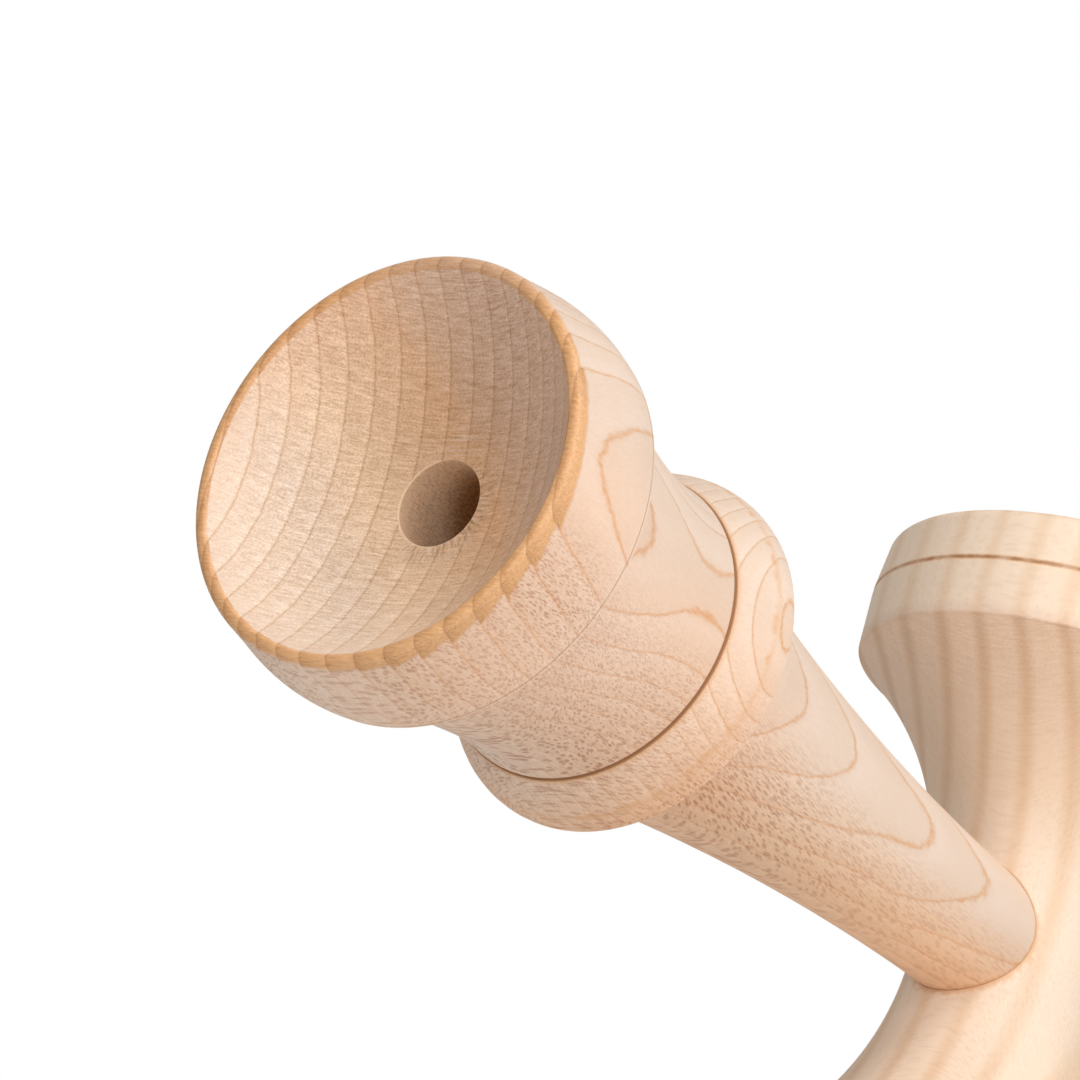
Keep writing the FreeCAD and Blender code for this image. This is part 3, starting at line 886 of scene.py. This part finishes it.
def cup_steps(cup, cross):
    """One side of the cross-piece, as (away, along, bulge of the next stretch), from bowl to waist."""
    sphere = cap_sphere_radius(cup.bowl_radius, cup.bowl_depth - cross.rim_bevel)
    bowl_chord = math.hypot(cup.bowl_radius, cup.bowl_depth - cross.rim_bevel)
    shoulder = cup.side_length - cup.band_width
    line = cup.side_length - cup.line_place
    rise = cup.shoulder_radius - cross.shoulder_ease - cross.waist_radius
    flank_chord = math.hypot(rise, shoulder - cross.waist_half_width)
    return [
        (0, cup.side_length - cup.bowl_depth, -sphere_bulge(sphere, bowl_chord)),
        (cup.bowl_radius, cup.side_length - cross.rim_bevel, 0),
        (cup.bowl_radius + cross.rim_bevel, cup.side_length, 0),
        (cup.rim_radius - cross.rim_round, cup.side_length, cross.rim_round * QUARTER_SHARE),
        (cup.rim_radius, cup.side_length - cross.rim_round, 0),
        (cup.line_radius, line + cross.line_half_width, 0),
        (cup.line_radius - cross.line_depth, line, 0),
        (cup.line_radius, line - cross.line_half_width, 0),
        (cup.shoulder_radius, shoulder + cross.shoulder_ease, cross.shoulder_ease * QUARTER_SHARE),
        (cup.shoulder_radius - cross.shoulder_ease, shoulder,
         -sphere_bulge(flank_chord ** 2 / (2 * rise), flank_chord)),
        (cross.waist_radius, cross.waist_half_width, 0),
    ]


def cross_outline(settings):
    """The cross-piece's outline from the big cup's bowl over the waist to the small cup's bowl."""
    big = cup_steps(settings.big_cup, settings.cross)
    small = cup_steps(settings.small_cup, settings.cross)
    outline = Outline(0, -big[0][1], settings.step)
    for before, after in zip(big, big[1:]):
        outline.arc_to(after[0], -after[1], before[2])
    outline.line_to(settings.cross.waist_radius, settings.cross.waist_half_width)
    for after in reversed(small[:-1]):
        outline.arc_to(after[0], after[1], after[2])
    return outline.eased(CORNER_EASE)


class KENDAMA_OT_cross_piece(bpy.types.Operator):
    """Turns the cross-piece and bores it for the handle and the string"""
    bl_idname = "kendama.cross_piece"
    bl_label = "Cross-piece"

    def execute(self, context):
        settings = context.scene.kendama
        h, cross = settings.handle, settings.cross
        middle = Vector((0, 0, cross.height))
        piece = turned_piece("cross_piece", cross_outline(settings), (1, 0, 0), middle, settings.around)
        reach = Vector((0, 0, settings.big_cup.shoulder_radius))
        low, high = middle - reach, middle + reach
        cut_away(piece, cone_cutter(low, high, seat_radius(h, cross, low.z) + cross.seat_clearance,
                                    seat_radius(h, cross, high.z) + cross.seat_clearance, settings.around))
        outside = middle - Vector((0, settings.big_cup.shoulder_radius, 0))
        hole = cross.string_hole_radius
        cut_away(piece, cone_cutter(middle, outside, hole, hole, STRING_HOLE_FACETS))
        finish_piece(piece, "sarado", "sarado", cross_material(settings))
        return {"FINISHED"}


def flank_radius(cup, cross):
    """Radius of the circle that a cup's hollow back follows."""
    rise = cup.shoulder_radius - cross.shoulder_ease - cross.waist_radius
    run = cup.side_length - cup.band_width - cross.waist_half_width
    return cap_sphere_radius(run, rise)


def flank_height(cup, cross, along):
    """How far the hollow back of a cup stands off the cross-piece's axis, at a place along it."""
    radius = flank_radius(cup, cross)
    return cross.waist_radius + radius - math.sqrt(radius ** 2 - (along - cross.waist_half_width) ** 2)


def ball_outline(settings):
    """The ball from the bottom of its spike hole, round the outside, to the string hole."""
    ball, cross = settings.ball, settings.cross
    flanks = [flank_height(cup, cross, ball.mouth_radius) for cup in (settings.big_cup, settings.small_cup)]
    mouth = cross.height + max(flanks) + ball.seat_clearance
    middle = mouth + math.sqrt(ball.radius ** 2 - ball.mouth_radius ** 2)
    bottom = mouth + ball.hole_depth
    bevel_radius = ball.string_hole_radius + ball.string_hole_bevel
    top = middle + math.sqrt(ball.radius ** 2 - bevel_radius ** 2)
    chord = math.hypot(ball.mouth_radius - ball.radius, mouth - middle)
    upper_chord = math.hypot(ball.radius - bevel_radius, top - middle)
    outline = Outline(ball.string_hole_radius, bottom, settings.step)
    outline.line_to(ball.hole_radius - ball.hole_fillet, bottom)
    outline.arc_to(ball.hole_radius, bottom - ball.hole_fillet, -ball.hole_fillet * QUARTER_SHARE)
    outline.line_to(ball.hole_radius, mouth + ball.mouth_radius - ball.hole_radius)
    outline.line_to(ball.mouth_radius, mouth)
    outline.arc_to(ball.radius, middle, sphere_bulge(ball.radius, chord))
    outline.arc_to(bevel_radius, top, sphere_bulge(ball.radius, upper_chord))
    outline.line_to(ball.string_hole_radius, top - ball.string_hole_bevel)
    outline.line_to(ball.string_hole_radius, bottom)
    return outline.eased(BALL_CORNER_EASE)


class KENDAMA_OT_ball(bpy.types.Operator):
    """Turns the ball with its bevelled spike hole and the string hole"""
    bl_idname = "kendama.ball"
    bl_label = "Ball"

    def execute(self, context):
        settings = context.scene.kendama
        piece = turned_piece("ball", ball_outline(settings), UP, Vector(), settings.around)
        finish_piece(piece, "tama", "tama", ball_material(settings.wood))
        return {"FINISHED"}


# Metres, but the sensor's width is in millimetres, as Blender has it
FLOOR_HALF_WIDTH = 4.0
LAMP_TARGET = (0, 0, 0.06)
SENSOR_WIDTH = 36.0


def floor_material():
    """Pale floor that keeps the shadow. It fades to white far out, and is clear from below and to light."""
    material, g = new_material("pale_floor")
    path = g.node("LightPath")
    back = g.node("NewGeometry").outputs["Backfacing"]
    fade = g.between(g.vector("LENGTH", object_place(g)[0]), 250.0, 900.0)
    diffuse = g.node("BsdfDiffuse", (0.88, 0.88, 0.88, 1.0)).outputs[0]
    white = g.node("Emission", (1.0, 1.0, 1.0, 1.0), 1.0).outputs[0]
    top = g.node("MixShader", fade, diffuse, white).outputs[0]
    seen = g.math("MAXIMUM", path.outputs["Is Camera Ray"], path.outputs["Is Glossy Ray"])
    seen = g.product(seen, g.less(1.0, back))
    clear = g.node("BsdfTransparent", (1.0, 1.0, 1.0, 1.0)).outputs[0]
    result = g.node("MixShader", seen, clear, top).outputs[0]
    g.tree.links.new(result, g.node("OutputMaterial").inputs[0])
    return material


def aim(place, target):
    """Rotation that turns an object's -Z from a place to a target."""
    return (Vector(target) - Vector(place)).to_track_quat("-Z", "Y")


def add_lamp(name, place, target, size, watts):
    light = bpy.data.lights.new(name, "AREA")
    light.shape = "DISK"
    light.size = size
    light.energy = watts
    lamp = bpy.data.objects.new(name, light)
    lamp.location = place
    lamp.rotation_mode = "QUATERNION"
    lamp.rotation_quaternion = aim(place, target)
    bpy.context.scene.collection.objects.link(lamp)


def set_world(ambient):
    """White where the camera sees it, also through clear things, and dimmer as light on the object."""
    world = bpy.data.worlds.new("white_room")
    bpy.context.scene.world = world
    world.use_nodes = True
    world.node_tree.nodes.clear()
    g = Graph(world.node_tree)
    path = g.node("LightPath")
    seen = g.math("MAXIMUM", path.outputs["Is Camera Ray"], path.outputs["Is Transmission Ray"])
    strength = g.between(seen, 0.0, 1.0, ambient, 1.0, smooth=False)
    background = g.node("Background", (1.0, 1.0, 1.0, 1.0), strength)
    g.tree.links.new(background.outputs[0], g.node("OutputWorld").inputs[0])


class KENDAMA_OT_studio(bpy.types.Operator):
    """Sets the floor, the lamps, the white room and the camera"""
    bl_idname = "kendama.studio"
    bl_label = "Studio"

    def execute(self, context):
        studio = context.scene.kendama.studio
        bm = bmesh.new()
        bmesh.ops.create_grid(bm, x_segments=1, y_segments=1, size=FLOOR_HALF_WIDTH)
        mesh = bpy.data.meshes.new("floor")
        bm.to_mesh(mesh)
        bm.free()
        mesh.materials.append(floor_material())
        floor = bpy.data.objects.new("floor", mesh)
        context.scene.collection.objects.link(floor)
        for name, place, size, watts in (
                ("key", (-0.30, -1.08, -0.38), 0.6, studio.key_power),
                ("side", (-0.95, -0.62, -0.35), 0.6, studio.side_power),
                ("low", (0.15, -0.45, -1.05), 0.6, studio.low_power),
                ("right", (1.0, -0.55, -0.1), 0.6, studio.right_power),
                ("top", (0.1, -0.2, 1.3), 0.9, studio.top_power),
                ("back", (0.7, 0.9, 0.5), 0.8, studio.back_power)):
            add_lamp(name, place, LAMP_TARGET, size, watts)
        set_world(studio.ambient)
        right, up = Vector(studio.camera_right), Vector(studio.camera_up)
        turn = Matrix((right, up, right.cross(up))).transposed()
        data = bpy.data.cameras.new("camera")
        data.lens = studio.lens
        data.sensor_width = SENSOR_WIDTH
        data.clip_start = 0.01
        data.clip_end = 20.0
        camera = bpy.data.objects.new("camera", data)
        camera.matrix_world = Matrix.Translation(studio.camera_place) @ turn.to_4x4()
        context.scene.collection.objects.link(camera)
        context.scene.camera = camera
        context.scene.view_settings.view_transform = "Standard"
        return {"FINISHED"}


class KENDAMA_PT_panel(bpy.types.Panel):
    """Buttons and settings in the sidebar"""
    bl_idname = "KENDAMA_PT_panel"
    bl_label = "Kendama"
    bl_space_type = "VIEW_3D"
    bl_region_type = "UI"
    bl_category = "Kendama"

    def draw(self, context):
        settings = context.scene.kendama
        for operator in OPERATORS:
            self.layout.operator(operator.bl_idname)
        self.layout.prop(settings, "around")
        self.layout.prop(settings, "step")
        for group in (settings.handle, settings.cross, settings.big_cup, settings.small_cup, settings.ball,
                      settings.wood, settings.studio):
            box = self.layout.box()
            for name in group.bl_rna.properties.keys():
                if name not in {"rna_type", "name"}:
                    box.prop(group, name)


GROUPS = (KendamaHandle, KendamaCup, KendamaCross, KendamaBall, KendamaWood, KendamaStudio, KendamaSettings)
OPERATORS = (KENDAMA_OT_handle, KENDAMA_OT_cross_piece, KENDAMA_OT_ball, KENDAMA_OT_studio)


def register():
    for item in GROUPS + OPERATORS + (KENDAMA_PT_panel,):
        bpy.utils.register_class(item)
    bpy.types.Scene.kendama = PointerProperty(type=KendamaSettings)


def unregister():
    del bpy.types.Scene.kendama
    for item in reversed(GROUPS + OPERATORS + (KENDAMA_PT_panel,)):
        bpy.utils.unregister_class(item)


def main():
    register()
    for name, millimetres in SMALL_CUP.items():
        setattr(bpy.context.scene.kendama.small_cup, name, millimetres * MM)
    for operator in OPERATORS:
        group, name = operator.bl_idname.split(".")
        getattr(getattr(bpy.ops, group), name)()


if __name__ == "__main__":
    main()
